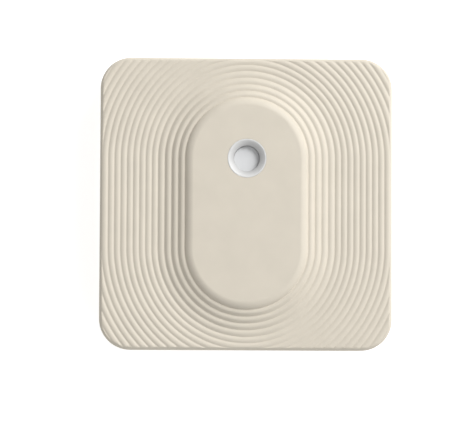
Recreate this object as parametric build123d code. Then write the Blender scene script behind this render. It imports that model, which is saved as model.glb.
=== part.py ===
from build123d import *
import math
import os

os.makedirs("parts", exist_ok=True)

# Wireless temperature and humidity sensor for a room: a square puck whose ribbed face
# flares up to a raised oval plateau, which carries a lit ring round a push button.
# Millimetres. It lies on its back: +Z leaves the face, +Y points to the button end,
# and the origin is the middle of the footprint, on the surface under the mounting tape.

# Outline of the whole sensor
face_side = 37.0
corner_radius = 3.9
body_thickness = 8.5
rim_thickness = 7.1
face_edge_radius = 0.7
back_edge_bevel = 0.4
edge_flats = 3

# Raised plateau and the ribbed flare round it
plateau_spine = 11.3
plateau_radius = 7.75
plateau_edge_radius = 1.22
plateau_edge_turn = 60
flare_reach = 3.67
flare_power = 1.6
flare_rib_count = 4
flare_rib_pitch = 0.86
face_rib_pitch = 0.79
groove_depth = 0.26

# Moulded walls
side_wall = 1.3
rim_wall = 1.7
plateau_wall = 1.1
cut_overrun = 1.0

# Double-sided mounting tape, set into the back cover
tape_side = 26.0
tape_corner_radius = 3.0
tape_thickness = 0.8
tape_recess = 0.3
tape_clearance = 0.2

# Back cover and its snap hooks
cover_thickness = 0.9
cover_clearance = 0.12
cover_edge_bevel = 0.2
cover_rim_height = 0.6
cover_rim_width = 0.9
hook_width = 3.0
hook_thickness = 0.8
hook_height = 2.5
hook_bead_reach = 0.3
hook_bead_height = 0.5
hook_spacing = 18.0
hook_channel_depth = 0.35
hook_clearance = 0.25
pry_notch_width = 6.0
pry_notch_depth = 0.7
pry_notch_height = 0.5

# Coin cell, which leaves this much free round itself inside the walls
cell_margin = 7.2
cell_height = 3.2
cell_edge_bevel = 0.3
cell_lip = 0.8
cell_step = 0.15
cap_depth = 0.6
seal_thickness = 0.25
cell_clearance = 0.1

# Circuit board
board_side_margin = 3.7
board_end_margin = 1.7
board_thickness = 0.8
board_corner_radius = 1.5
board_boss_clearance = 0.3
isolation_slot_width = 0.8
isolation_slot_length = 3.2
isolation_bridge = 4.4

# Frame that carries the cell and clamps the board
well_clearance = 0.3
well_wall = 1.0
well_lift = 0.5
arm_width = 3.4
arm_thickness = 0.8
gusset_thickness = 1.0
gusset_reach = 3.2
finger_notch_width = 6.0
finger_notch_height = 1.4

# Screw bosses in the housing and the screws that enter them
boss_radius = 1.9
boss_inset = 4.6
boss_height = 3.0
screw_radius = 0.7
screw_length = 3.4
screw_clearance = 0.1
screw_head_radius = 1.25
screw_head_height = 0.6

# Light ring round the button
button_offset = 5.65
ring_radius = 2.45
ring_bore_radius = 1.62
ring_lip = 0.15
ring_cone_depth = 0.5
ring_clearance = 0.03
ring_flange_radius = 3.4
ring_flange_thickness = 0.5
guide_width = 1.6
guide_thickness = 0.9
guide_clearance = 0.15

# Push button
button_depth = 1.0
button_clearance = 0.07
button_edge_bevel = 0.1
button_flange_radius = 2.1
button_flange_thickness = 0.4

# Switch under the button
switch_side = 3.2
switch_height = 0.7
pit_radius = 1.15
pit_depth = 0.4
dome_radius = 1.05
dome_height = 0.3
dome_sheet = 0.06
crown_share = 0.5
plunger_radius = 0.75
plunger_flange_radius = 1.02
switch_plate_thickness = 0.12
switch_plate_clearance = 0.1
terminal_width = 0.7
terminal_length = 0.45
terminal_thickness = 0.15
terminal_spacing = 2.2

# Radio module
module_width = 9.6
module_end_margin = 1.7
module_thickness = 0.6
module_clearance = 0.6
shield_width = 8.6
shield_height = 1.1
shield_sheet = 0.15
shield_edge_bevel = 0.3
antenna_width = 3.2
antenna_length = 1.6
antenna_height = 0.6
antenna_distance = 1.2
component_margin = 0.5

# Small components
crystal_width = 1.5
crystal_length = 3.2
crystal_height = 0.8
led_width = 1.6
led_length = 0.8
led_height = 0.6
chip_length = 1.0
chip_width = 0.5
chip_height = 0.5
chip_column = 3.6
chip_pitch = 1.9
climate_side = 2.5
climate_height = 0.9
climate_margin = 0.4
filter_side = 1.8
filter_thickness = 0.1

# Contact springs
contact_sheet = 0.15
contact_width = 4.0
contact_window = 5.0
contact_tab = 1.2
contact_clearance = 0.08
spring_width = 3.0
spring_base = 3.0
spring_reach = 5.6
spring_tip = 0.8

# Air slots in the wall beside the climate sensor
vent_count = 5
vent_width = 0.7
vent_height = 2.4
vent_pitch = 1.7

# Levels, counted up from the surface
back_z = tape_thickness - tape_recess
face_z = back_z + rim_thickness
plateau_z = back_z + body_thickness
foot_z = plateau_z - plateau_edge_radius * (1 - math.cos(math.radians(plateau_edge_turn)))
ceiling_z = face_z - rim_wall
plateau_ceiling_z = plateau_z - plateau_wall
cover_z = back_z + cover_thickness
cell_z = cover_z + cell_clearance
cell_top_z = cell_z + cell_height
cap_z = cell_top_z - cap_depth
board_top_z = ceiling_z
board_z = board_top_z - board_thickness
well_z = cover_z + well_lift
boss_z = ceiling_z - boss_height
arm_z = boss_z - arm_thickness
screw_tip_z = arm_z + screw_length
ring_flange_z = plateau_ceiling_z - ring_flange_thickness
button_top_z = plateau_z - button_depth
button_z = ring_flange_z - button_flange_thickness
switch_top_z = board_top_z + switch_height
pit_z = switch_top_z - pit_depth
dome_z = pit_z + dome_height
module_top_z = board_top_z + module_thickness
led_top_z = board_top_z + led_height
climate_z = board_z - climate_height

# Sides, radii and places that several pieces share
inner_side = face_side - 2 * side_wall
inner_corner_radius = corner_radius - side_wall
spine_end = plateau_spine / 2
flare_radius = plateau_radius + flare_reach
flare_rise = foot_z + groove_depth - face_z
cell_radius = inner_side / 2 - cell_margin
well_radius = cell_radius + well_clearance
well_outer_radius = well_radius + well_wall
boss_distance = math.hypot(face_side / 2 - boss_inset, face_side / 2 - boss_inset)
guide_place = button_offset - ring_flange_radius + guide_thickness / 2
board_width = inner_side - 2 * board_side_margin
board_length = inner_side - 2 * board_end_margin
climate_place = board_length / 2 - climate_margin - climate_side / 2
module_length = spine_end + plateau_radius - module_end_margin - module_clearance
shield_length = module_length - antenna_length - 2 * component_margin - antenna_distance


def rounded_slab(width, length, radius, bottom, top):
    return extrude(Pos(0, 0, bottom) * RectangleRounded(width, length, radius), top - bottom)


def block(width, length, bottom, top):
    return extrude(Pos(0, 0, bottom) * Rectangle(width, length), top - bottom)


def disc(radius, bottom, top):
    return extrude(Pos(0, 0, bottom) * Circle(radius), top - bottom)


def turned(points):
    """A round piece from its half section, given as radius and level."""
    return revolve(make_face(Plane.XZ * Polyline(*points, close=True)), Axis.Z)


def bent_strip(points, thickness, width):
    """A strip of spring sheet: its middle line in the XZ plane, spread along Y."""
    sheet = Plane.XZ * trace(Polyline(*points), line_width=thickness)
    return extrude(sheet, width / 2, both=True)


def screw_places():
    """The two bosses stand in opposite corners of the housing."""
    return [Rot(0, 0, 45 + 180 * turn) * Pos(boss_distance, 0, 0) for turn in range(2)]


def stadium_form(section):
    """Carries a half section round the plateau's spine: two straight sides, two half turns."""
    side = extrude(section, spine_end, both=True)
    end = revolve(Pos(0, spine_end, 0) * section, Axis((0, spine_end, 0), (0, 0, 1)), 180)
    return side + mirror(side, Plane.YZ) + end + mirror(end, Plane.XZ)


def flare_share(distance):
    """How far up the flare a place is, from 0 on the flat rim to 1 at the plateau's foot."""
    return max(0, (flare_radius - distance) / flare_reach)


def crest_height(distance):
    return face_z + flare_rise * flare_share(distance) ** flare_power


def groove_distances():
    """Distances of the grooves from the spine, out to the corners of the face."""
    distances = [plateau_radius + flare_rib_pitch * (rib + 1) for rib in range(flare_rib_count)]
    corner_distance = math.hypot(face_side / 2, face_side / 2 - spine_end)
    while distances[-1] + face_rib_pitch < corner_distance:
        distances.append(distances[-1] + face_rib_pitch)
    return distances


def rounded_edge(radius, whole_turn):
    """An edge rounded by a few flats: how far in from its foot and how far down, from the top."""
    turns = [math.radians(whole_turn) * flat / edge_flats for flat in range(edge_flats + 1)]
    reach = math.sin(turns[-1])
    return [(radius * (reach - math.sin(turn)), radius * (1 - math.cos(turn))) for turn in turns]


def face_section():
    """Half section of the face: plateau, rounded flank, ribbed flare and flat ribbed rim."""
    flank = rounded_edge(plateau_edge_radius, plateau_edge_turn)
    points = [(0, plateau_z)] + [(plateau_radius - x, plateau_z - z) for x, z in flank]
    inner = plateau_radius
    for distance in groove_distances():
        crest = (inner + distance) / 2
        points += [(crest, crest_height(crest)), (distance, crest_height(distance) - groove_depth)]
        inner = distance
    points += [(inner + face_rib_pitch / 2, face_z), (face_side, face_z), (face_side, back_z), (0, back_z)]
    return make_face(Plane.XZ * Polyline(*points, close=True))


def hollow_section():
    """Half section of the room under the face, which steps down with it round the plateau."""
    low_z = back_z - cut_overrun
    inner = plateau_radius - side_wall
    points = [
        (0, plateau_ceiling_z),
        (inner, plateau_ceiling_z),
        (inner + plateau_ceiling_z - ceiling_z, ceiling_z),
        (face_side, ceiling_z),
        (face_side, low_z),
        (0, low_z),
    ]
    return make_face(Plane.XZ * Polyline(*points, close=True))


def square_outline(inset, level):
    side = face_side - 2 * inset
    return Pos(0, 0, level) * RectangleRounded(side, side, corner_radius - inset)


def housing_body():
    """The square body with its rounded face edge, inside which the ribbed face is set."""
    steps = rounded_edge(face_edge_radius, 90)
    body = extrude(square_outline(0, back_z), rim_thickness - face_edge_radius)
    body = chamfer(body.edges().group_by(Axis.Z)[0], back_edge_bevel)
    for (inset, drop), (outer_inset, outer_drop) in zip(steps, steps[1:]):
        height = outer_drop - drop
        lean = math.degrees(math.atan2(inset - outer_inset, height))
        body += extrude(square_outline(outer_inset, face_z - outer_drop), height, taper=lean)
    inset = extrude(square_outline(face_edge_radius, ceiling_z), plateau_z - ceiling_z)
    return body - inset + (stadium_form(face_section()) & inset)


def hook_places():
    """Two hooks on the left and two on the right, turned so that +X faces the wall."""
    return [
        Pos(side * inner_side / 2, end * hook_spacing / 2, 0) * Rot(0, 0, 90 - 90 * side)
        for side in (-1, 1)
        for end in (-1, 1)
    ]


def boss():
    top_z = ceiling_z + rim_wall / 2
    return disc(boss_radius, boss_z, top_z) - disc(screw_radius, boss_z, screw_tip_z)


def hook_channel():
    width = hook_width + 2 * hook_clearance
    return block(2 * hook_channel_depth, width, cover_z, cover_z + hook_height + hook_clearance)


def pry_notch():
    notch = block(pry_notch_width, 2 * pry_notch_depth, 0, back_z + pry_notch_height)
    return Pos(0, inner_side / 2, 0) * notch


def air_slots():
    middle_z = (cover_z + cover_rim_height + board_z) / 2
    slot = block(vent_width, 2 * side_wall, middle_z - vent_height / 2, middle_z + vent_height / 2)
    slot = Pos(0, (face_side - side_wall) / 2, 0) * slot
    first = -(vent_count - 1) / 2
    return [Pos((first + step) * vent_pitch, 0, 0) * slot for step in range(vent_count)]


def front_housing():
    housing = housing_body()
    low_z = back_z - cut_overrun
    room = rounded_slab(inner_side, inner_side, inner_corner_radius, low_z, plateau_z)
    housing -= stadium_form(hollow_section()) & room
    housing += [place * boss() for place in screw_places()]
    ring_hole = disc(ring_radius + ring_clearance, ring_flange_z, plateau_z + cut_overrun)
    housing -= Pos(0, button_offset, 0) * ring_hole
    housing -= [place * hook_channel() for place in hook_places()]
    return housing - air_slots() - pry_notch()


def light_ring():
    profile = [
        (ring_radius, plateau_z),
        (ring_radius - ring_lip, plateau_z),
        (ring_bore_radius, plateau_z - ring_cone_depth),
        (ring_bore_radius, ring_flange_z),
        (ring_flange_radius, ring_flange_z),
        (ring_flange_radius, plateau_ceiling_z),
        (ring_radius, plateau_ceiling_z),
    ]
    leg_top_z = (ring_flange_z + plateau_ceiling_z) / 2
    leg = block(guide_width, guide_thickness, led_top_z + guide_clearance, leg_top_z)
    return Pos(0, button_offset, 0) * turned(profile) + Pos(0, guide_place, 0) * leg


def control_button():
    radius = ring_bore_radius - button_clearance
    profile = [
        (0, button_top_z),
        (radius - button_edge_bevel, button_top_z),
        (radius, button_top_z - button_edge_bevel),
        (radius, ring_flange_z),
        (button_flange_radius, ring_flange_z),
        (button_flange_radius, button_z),
        (0, button_z),
    ]
    return Pos(0, button_offset, 0) * turned(profile)


def switch_plunger():
    profile = [
        (0, button_z),
        (plunger_radius, button_z),
        (plunger_radius, switch_top_z),
        (plunger_flange_radius, switch_top_z),
        (plunger_flange_radius, dome_z),
        (0, dome_z),
    ]
    return Pos(0, button_offset, 0) * turned(profile)


def switch_dome():
    """Snap dome of thin sheet: a sloping skirt under a flat crown."""
    crown = dome_radius * crown_share
    profile = [
        (dome_radius, pit_z),
        (crown, dome_z),
        (0, dome_z),
        (0, dome_z - dome_sheet),
        (crown - dome_sheet, dome_z - dome_sheet),
        (dome_radius - 2 * dome_sheet, pit_z),
    ]
    return Pos(0, button_offset, 0) * turned(profile)


def switch_base():
    base = block(switch_side, switch_side, board_top_z, switch_top_z)
    return Pos(0, button_offset, 0) * (base - disc(pit_radius, pit_z, switch_top_z))


def switch_plate():
    top_z = switch_top_z + switch_plate_thickness
    bore = disc(plunger_radius + switch_plate_clearance, switch_top_z, top_z)
    return Pos(0, button_offset, 0) * (block(switch_side, switch_side, switch_top_z, top_z) - bore)


def switch_terminals():
    tab = block(terminal_length, terminal_width, board_top_z, board_top_z + terminal_thickness)
    x = (switch_side + terminal_length) / 2
    y = terminal_spacing / 2
    return Part() + [
        Pos(side * x, button_offset + end * y, 0) * tab for side in (-1, 1) for end in (-1, 1)
    ]


def circuit_board():
    board = rounded_slab(board_width, board_length, board_corner_radius, board_z, board_top_z)
    relief = disc(boss_radius + board_boss_clearance, board_z, board_top_z)
    board -= [place * relief for place in screw_places()]
    slot = block(isolation_slot_width, 2 * isolation_slot_length, board_z, board_top_z)
    x = (isolation_bridge + isolation_slot_width) / 2
    return board - [Pos(side * x, board_length / 2, 0) * slot for side in (-1, 1)]


def module_middle():
    """Where the radio module lies: clear of the light guide, towards the far end."""
    return -module_clearance - module_length / 2


def radio_module():
    slab = block(module_width, module_length, board_top_z, module_top_z)
    return Pos(0, module_middle(), 0) * slab


def shield_can():
    top_z = module_top_z + shield_height
    can = block(shield_width, shield_length, module_top_z, top_z)
    can = chamfer(can.edges().group_by(Axis.Z)[-1], shield_edge_bevel)
    room_width = shield_width - 2 * shield_sheet
    room_length = shield_length - 2 * shield_sheet
    room = block(room_width, room_length, module_top_z, top_z - shield_sheet)
    room = chamfer(room.edges().group_by(Axis.Z)[-1], shield_edge_bevel)
    y = module_middle() + (module_length - shield_length) / 2 - component_margin
    return Pos(0, y, 0) * (can - room)


def chip_antenna():
    slab = block(antenna_width, antenna_length, module_top_z, module_top_z + antenna_height)
    y = module_middle() - (module_length - antenna_length) / 2 + component_margin
    return Pos(0, y, 0) * slab


def timing_crystal():
    slab = block(crystal_width, crystal_length, board_top_z, board_top_z + crystal_height)
    y = crystal_length / 2 - module_clearance + component_margin
    return Pos(crystal_width / 2 - module_width / 2 - component_margin, y, 0) * slab


def indicator_led():
    return Pos(0, guide_place, 0) * block(led_width, led_length, board_top_z, led_top_z)


def board_passives():
    """Capacitors and resistors in a column beside the switch and a pair above it."""
    chip = block(chip_length, chip_width, board_top_z, board_top_z + chip_height)
    places = [(chip_column, button_offset + step * chip_pitch) for step in (-2, -1, 0, 1)]
    places += [(-chip_column, button_offset + step * chip_pitch) for step in (0, 1)]
    row = button_offset + switch_side / 2 + chip_pitch
    places += [(side * chip_length, row) for side in (-1, 1)]
    return Part() + [Pos(x, y, 0) * chip for x, y in places]


def climate_sensor():
    """Sensing chip under the board, on the neck between the two slots."""
    return Pos(0, climate_place, 0) * block(climate_side, climate_side, climate_z, board_z)


def port_filter():
    film = block(filter_side, filter_side, climate_z - filter_thickness, climate_z)
    return Pos(0, climate_place, 0) * film


def battery_frame():
    """Well for the cell, with two arms that are screwed under the housing's bosses."""
    well = disc(well_outer_radius, well_z, board_z)
    arm_reach = boss_distance + arm_width / 2
    arm = Pos(arm_reach / 2, 0, 0) * block(arm_reach, arm_width, arm_z, boss_z)
    rib_reach = well_outer_radius + gusset_reach
    rib = make_face(
        Plane.XZ * Polyline((0, arm_z), (rib_reach, arm_z), (rib_reach, boss_z), (0, board_z), close=True)
    )
    arm += extrude(rib, gusset_thickness / 2, both=True)
    arm -= Pos(boss_distance, 0, 0) * disc(screw_radius + screw_clearance, arm_z, boss_z)
    frame = well + [Rot(0, 0, 45 + 180 * turn) * arm for turn in range(2)]
    frame -= disc(well_radius, well_z, board_z)
    window = block(2 * (well_wall + well_clearance), contact_window, well_z, board_z)
    frame -= Pos(well_radius, 0, 0) * window
    notch = block(finger_notch_width, 2 * (well_wall + well_clearance), well_z, well_z + finger_notch_height)
    return frame - Pos(0, -well_radius, 0) * notch


def frame_screws():
    screw = disc(screw_head_radius, arm_z - screw_head_height, arm_z)
    screw += disc(screw_radius, arm_z, screw_tip_z)
    return Part() + [place * screw for place in screw_places()]


def positive_contact():
    """Leaf that leaves the board outside the well and bulges in to the side of the can."""
    tab_z = board_z - contact_sheet / 2
    bulge = cell_radius + contact_clearance + contact_sheet / 2
    points = [
        (well_outer_radius + contact_tab, tab_z),
        (well_outer_radius, tab_z),
        (bulge, (cell_z + cell_top_z) / 2),
        (well_radius + well_wall / 2, well_z),
    ]
    return bent_strip(points, contact_sheet, contact_width)


def negative_contact():
    """Bridge under the board, whose two arms reach down to the cap of the cell."""
    base_z = board_z - contact_sheet / 2
    tip_z = cell_top_z + contact_sheet / 2
    knee = spring_reach - spring_tip
    points = [
        (-spring_reach, tip_z),
        (-knee, tip_z),
        (-spring_base / 2, base_z),
        (spring_base / 2, base_z),
        (knee, tip_z),
        (spring_reach, tip_z),
    ]
    return bent_strip(points, contact_sheet, spring_width)


def cell_can():
    lip_z = cell_top_z - cell_step
    profile = [
        (0, cell_z),
        (cell_radius - cell_edge_bevel, cell_z),
        (cell_radius, cell_z + cell_edge_bevel),
        (cell_radius, lip_z),
        (cell_radius - cell_lip, lip_z),
        (cell_radius - cell_lip, cap_z),
        (0, cap_z),
    ]
    return turned(profile)


def cell_cap():
    return disc(cell_radius - cell_lip - seal_thickness, cap_z, cell_top_z)


def cell_seal():
    top_z = cell_top_z - cell_step / 2
    outer = cell_radius - cell_lip
    return disc(outer, cap_z, top_z) - disc(outer - seal_thickness, cap_z, top_z)


def cover_hook():
    """Tongue with a wedge near its tip, seen along the wall that it runs up."""
    edge = -2 * cover_clearance
    tip_z = cover_z + hook_height
    points = [
        (edge - hook_thickness, (back_z + cover_z) / 2),
        (edge, (back_z + cover_z) / 2),
        (edge, tip_z - 2 * hook_bead_height),
        (edge + hook_bead_reach, tip_z - hook_bead_height),
        (edge, tip_z),
        (edge - hook_thickness, tip_z),
    ]
    return extrude(make_face(Plane.XZ * Polyline(*points, close=True)), hook_width / 2, both=True)


def back_cover():
    side = inner_side - 2 * cover_clearance
    radius = inner_corner_radius - cover_clearance
    cover = rounded_slab(side, side, radius, back_z, cover_z)
    cover = chamfer(cover.edges().group_by(Axis.Z)[0], cover_edge_bevel)
    rim_z = cover_z + cover_rim_height
    rim_side = side - 2 * cover_clearance
    rim_radius = radius - cover_clearance
    core_side = rim_side - 2 * cover_rim_width
    core_radius = rim_radius - cover_rim_width
    rim = rounded_slab(rim_side, rim_side, rim_radius, cover_z, rim_z)
    cover += rim - rounded_slab(core_side, core_side, core_radius, cover_z, rim_z)
    cover += [place * cover_hook() for place in hook_places()]
    pocket_side = tape_side + 2 * tape_clearance
    pocket_radius = tape_corner_radius + tape_clearance
    cover -= rounded_slab(pocket_side, pocket_side, pocket_radius, 0, tape_thickness)
    return cover - pry_notch()


def mounting_tape():
    return rounded_slab(tape_side, tape_side, tape_corner_radius, 0, tape_thickness)


pieces = [
    front_housing,
    light_ring,
    control_button,
    switch_plunger,
    switch_dome,
    switch_base,
    switch_plate,
    switch_terminals,
    circuit_board,
    radio_module,
    shield_can,
    chip_antenna,
    timing_crystal,
    indicator_led,
    board_passives,
    climate_sensor,
    port_filter,
    battery_frame,
    frame_screws,
    positive_contact,
    negative_contact,
    cell_can,
    cell_cap,
    cell_seal,
    back_cover,
    mounting_tape,
]

for piece in pieces:
    export_step(piece(), f"parts/{piece.__name__}.step")
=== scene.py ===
import math

import bmesh
import bpy
from mathutils import Color, Euler, Matrix, Vector


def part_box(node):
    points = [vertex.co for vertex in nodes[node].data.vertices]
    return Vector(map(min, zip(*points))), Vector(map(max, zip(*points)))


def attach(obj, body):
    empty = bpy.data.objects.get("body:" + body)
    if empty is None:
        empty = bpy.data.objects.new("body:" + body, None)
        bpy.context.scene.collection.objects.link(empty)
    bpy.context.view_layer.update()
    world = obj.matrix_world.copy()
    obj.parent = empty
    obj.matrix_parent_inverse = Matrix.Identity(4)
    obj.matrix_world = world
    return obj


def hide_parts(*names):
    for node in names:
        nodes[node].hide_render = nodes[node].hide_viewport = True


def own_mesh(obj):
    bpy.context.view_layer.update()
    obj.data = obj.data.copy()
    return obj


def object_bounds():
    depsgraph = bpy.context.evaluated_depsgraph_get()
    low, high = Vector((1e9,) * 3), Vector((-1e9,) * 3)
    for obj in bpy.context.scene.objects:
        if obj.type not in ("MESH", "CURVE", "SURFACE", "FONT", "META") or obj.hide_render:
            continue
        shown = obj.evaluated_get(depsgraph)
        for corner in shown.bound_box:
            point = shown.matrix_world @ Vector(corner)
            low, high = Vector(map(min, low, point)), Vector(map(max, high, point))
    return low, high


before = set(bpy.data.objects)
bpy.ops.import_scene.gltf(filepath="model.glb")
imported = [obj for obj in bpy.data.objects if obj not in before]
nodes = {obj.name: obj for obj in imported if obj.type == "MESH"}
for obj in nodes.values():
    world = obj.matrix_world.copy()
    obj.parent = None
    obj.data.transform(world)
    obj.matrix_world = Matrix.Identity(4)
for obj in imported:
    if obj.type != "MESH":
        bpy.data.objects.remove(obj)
cad_low, cad_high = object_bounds()


# Camera
# The photograph is taken nearly square on to the face, from a little towards the foot of the
# sensor and a little to its left, through a long lens. The sensor sits right of the middle and
# a little above it.
photo_size = Vector((466, 421))
sensor_in_photo = Vector((245.4, 205.0))
pixel_pitch = 0.0001275
camera_distance = 0.32
camera_tilt = math.radians(3.4)
camera_lean = math.radians(-2.0)
camera_roll = math.radians(0.26)

camera_data = bpy.data.cameras.new("photo_camera")
camera_data.sensor_width = 36
camera_data.lens = camera_data.sensor_width * camera_distance / (photo_size.x * pixel_pitch)
camera_data.clip_start = 0.01
camera_data.clip_end = 3
camera = bpy.data.objects.new("photo_camera", camera_data)
bpy.context.scene.collection.objects.link(camera)
bpy.context.scene.camera = camera
off_middle = sensor_in_photo - photo_size / 2
looked_at = (cad_low + cad_high) / 2 + Vector((-off_middle.x, off_middle.y, 0)) * pixel_pitch
camera.rotation_euler = Euler((camera_tilt, camera_lean, camera_roll))
sight = camera.rotation_euler.to_matrix() @ Vector((0, 0, -1))
camera.location = looked_at - sight * camera_distance


# Studio
# A white sheet under the sensor and a white room round it. One soft lamp stands low on the
# upper right, as the photograph's shadows show, a weak one on the lower right, and the room
# fills in the rest. A lamp under the sheet reaches only what faces down: back and inside.
bpy.context.scene.view_settings.view_transform = "Standard"
fill_strength = 0.415
lamp_distance = 0.7
lamp_side = 0.42
lamp_power = 4.62
lamp_turn = math.radians(40)
lamp_height = math.radians(37)
side_lamp_turn = math.radians(-60)
side_lamp_height = math.radians(30)
side_lamp_power = 0.55
low_lamp_distance = 0.3
low_lamp_side = 0.05
low_lamp_power = 0.35
low_lamp_height = math.radians(-90)
sheet_side = 1.2
sheet_colour = (0.9, 0.9, 0.9, 1)
sheet_glow = 0.64


def white_to_the_eye(tree):
    """1 for rays from the camera, from gloss and through glass, 0 for light on the object."""
    path = tree.nodes.new("ShaderNodeLightPath")
    seen = path.outputs["Is Camera Ray"]
    for kind in ("Is Glossy Ray", "Is Transmission Ray"):
        either = tree.nodes.new("ShaderNodeMath")
        either.operation = "MAXIMUM"
        tree.links.new(seen, either.inputs[0])
        tree.links.new(path.outputs[kind], either.inputs[1])
        seen = either.outputs[0]
    return seen


room = bpy.data.worlds.new("white_room")
bpy.context.scene.world = room
room.use_nodes = True
fill = room.node_tree.nodes["Background"]
fill.inputs["Color"].default_value = (1, 1, 1, 1)
fill.inputs["Strength"].default_value = fill_strength
backdrop = room.node_tree.nodes.new("ShaderNodeBackground")
backdrop.inputs["Color"].default_value = (1, 1, 1, 1)
backdrop.inputs["Strength"].default_value = 1
choice = room.node_tree.nodes.new("ShaderNodeMixShader")
room.node_tree.links.new(white_to_the_eye(room.node_tree), choice.inputs[0])
room.node_tree.links.new(fill.outputs[0], choice.inputs[1])
room.node_tree.links.new(backdrop.outputs[0], choice.inputs[2])
room.node_tree.links.new(choice.outputs[0], room.node_tree.nodes["World Output"].inputs[0])


def soft_lamp(name, side, power, turn, height, distance):
    """A square lamp that faces the sensor, from a turn, an angle of height and a distance."""
    direction = Euler((0, -height, turn)).to_matrix() @ Vector((1, 0, 0))
    lamp_data = bpy.data.lights.new(name, "AREA")
    lamp_data.size = side
    lamp_data.energy = power
    lamp = bpy.data.objects.new(name, lamp_data)
    bpy.context.scene.collection.objects.link(lamp)
    lamp.location = direction * distance
    lamp.rotation_euler = direction.to_track_quat("Z", "Y").to_euler()
    return lamp


soft_lamp("key_lamp", lamp_side, lamp_power, lamp_turn, lamp_height, lamp_distance)
soft_lamp("side_lamp", lamp_side, side_lamp_power, side_lamp_turn, side_lamp_height, lamp_distance)
low_lamp = soft_lamp("low_lamp", low_lamp_side, low_lamp_power, 0, low_lamp_height, low_lamp_distance)
low_lamp.visible_camera = False

sheet = bmesh.new()
bmesh.ops.create_grid(sheet, x_segments=1, y_segments=1, size=sheet_side / 2)
bmesh.ops.translate(sheet, verts=sheet.verts, vec=(0, 0, cad_low.z))
floor = bpy.data.objects.new("floor_sheet", bpy.data.meshes.new("floor_sheet"))
sheet.to_mesh(floor.data)
sheet.free()
bpy.context.scene.collection.objects.link(floor)
paper = bpy.data.materials.new("white_paper")
paper.use_nodes = True
paper_nodes = paper.node_tree.nodes
paper_links = paper.node_tree.links
matt = paper_nodes["Principled BSDF"]
matt.inputs["Base Color"].default_value = sheet_colour
matt.inputs["Roughness"].default_value = 1
matt.inputs["Specular IOR Level"].default_value = 0
glow = paper_nodes.new("ShaderNodeEmission")
dark = paper_nodes.new("ShaderNodeEmission")
glow.inputs["Strength"].default_value = sheet_glow
dark.inputs["Strength"].default_value = 0
seen_glow = paper_nodes.new("ShaderNodeMixShader")
both = paper_nodes.new("ShaderNodeAddShader")
paper_links.new(white_to_the_eye(paper.node_tree), seen_glow.inputs[0])
paper_links.new(dark.outputs[0], seen_glow.inputs[1])
paper_links.new(glow.outputs[0], seen_glow.inputs[2])
paper_links.new(matt.outputs[0], both.inputs[0])
paper_links.new(seen_glow.outputs[0], both.inputs[1])

# from below, the sheet is clear, and it lets the low lamp through
clear = paper_nodes.new("ShaderNodeBsdfTransparent")
one_way = paper_nodes.new("ShaderNodeMixShader")
from_below = paper_nodes.new("ShaderNodeMath")
from_below.operation = "MAXIMUM"
backfacing = paper_nodes.new("ShaderNodeNewGeometry").outputs["Backfacing"]
shadow_ray = paper_nodes.new("ShaderNodeLightPath").outputs["Is Shadow Ray"]
paper_links.new(backfacing, from_below.inputs[0])
paper_links.new(shadow_ray, from_below.inputs[1])
paper_links.new(from_below.outputs[0], one_way.inputs[0])
paper_links.new(both.outputs[0], one_way.inputs[1])
paper_links.new(clear.outputs[0], one_way.inputs[2])
paper_links.new(one_way.outputs[0], paper_nodes["Material Output"].inputs["Surface"])
floor.data.materials.append(paper)


# Front housing
# The sensor's body: one injection moulding in matt cream ABS, open at the back. Its face has
# ribs that run round the oval plateau and swing up to it, and a smooth rounded border.
cream = (218, 210, 195)
plateau_radius = 0.00775
plateau_edge_radius = 0.00122
plateau_edge_turn = math.radians(60)
spine_end = 0.00565
flare_reach = 0.00367
flare_power = 1.6
rim_drop = 0.0014
flare_rib_count = 4
flare_rib_pitch = 0.00086
face_rib_pitch = 0.000786
groove_depth = 0.00017
flare_groove_depth = 0.00031
crest_rounding = 0.00026
groove_rounding = 0.00006
edge_share = 0.97
corner_radius = 0.0039
border_radius = 0.0007
rim_wall = 0.0017
plateau_wall = 0.0011
side_wall = 0.0013
rib_count = 19
arc_steps = 96
crest_steps = 6
groove_steps = 3
shoulder_steps = 12
corner_steps = 24
border_steps = 10
round_steps = 128
merge_reach = 0.000001
sharp_angle = math.radians(30)
housing_low, housing_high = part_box("front_housing")
ring_low, ring_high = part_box("light_ring")
plateau_z = housing_high.z
face_z = plateau_z - rim_drop
foot_z = plateau_z - plateau_edge_radius * (1 - math.cos(plateau_edge_turn))
flare_rise = foot_z + flare_groove_depth - face_z
flare_radius = plateau_radius + flare_reach
ceiling_z = face_z - rim_wall
ring_middle = (ring_low + ring_high) / 2
ring_radius = 0.00245
ring_gap = 0.00001


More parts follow.
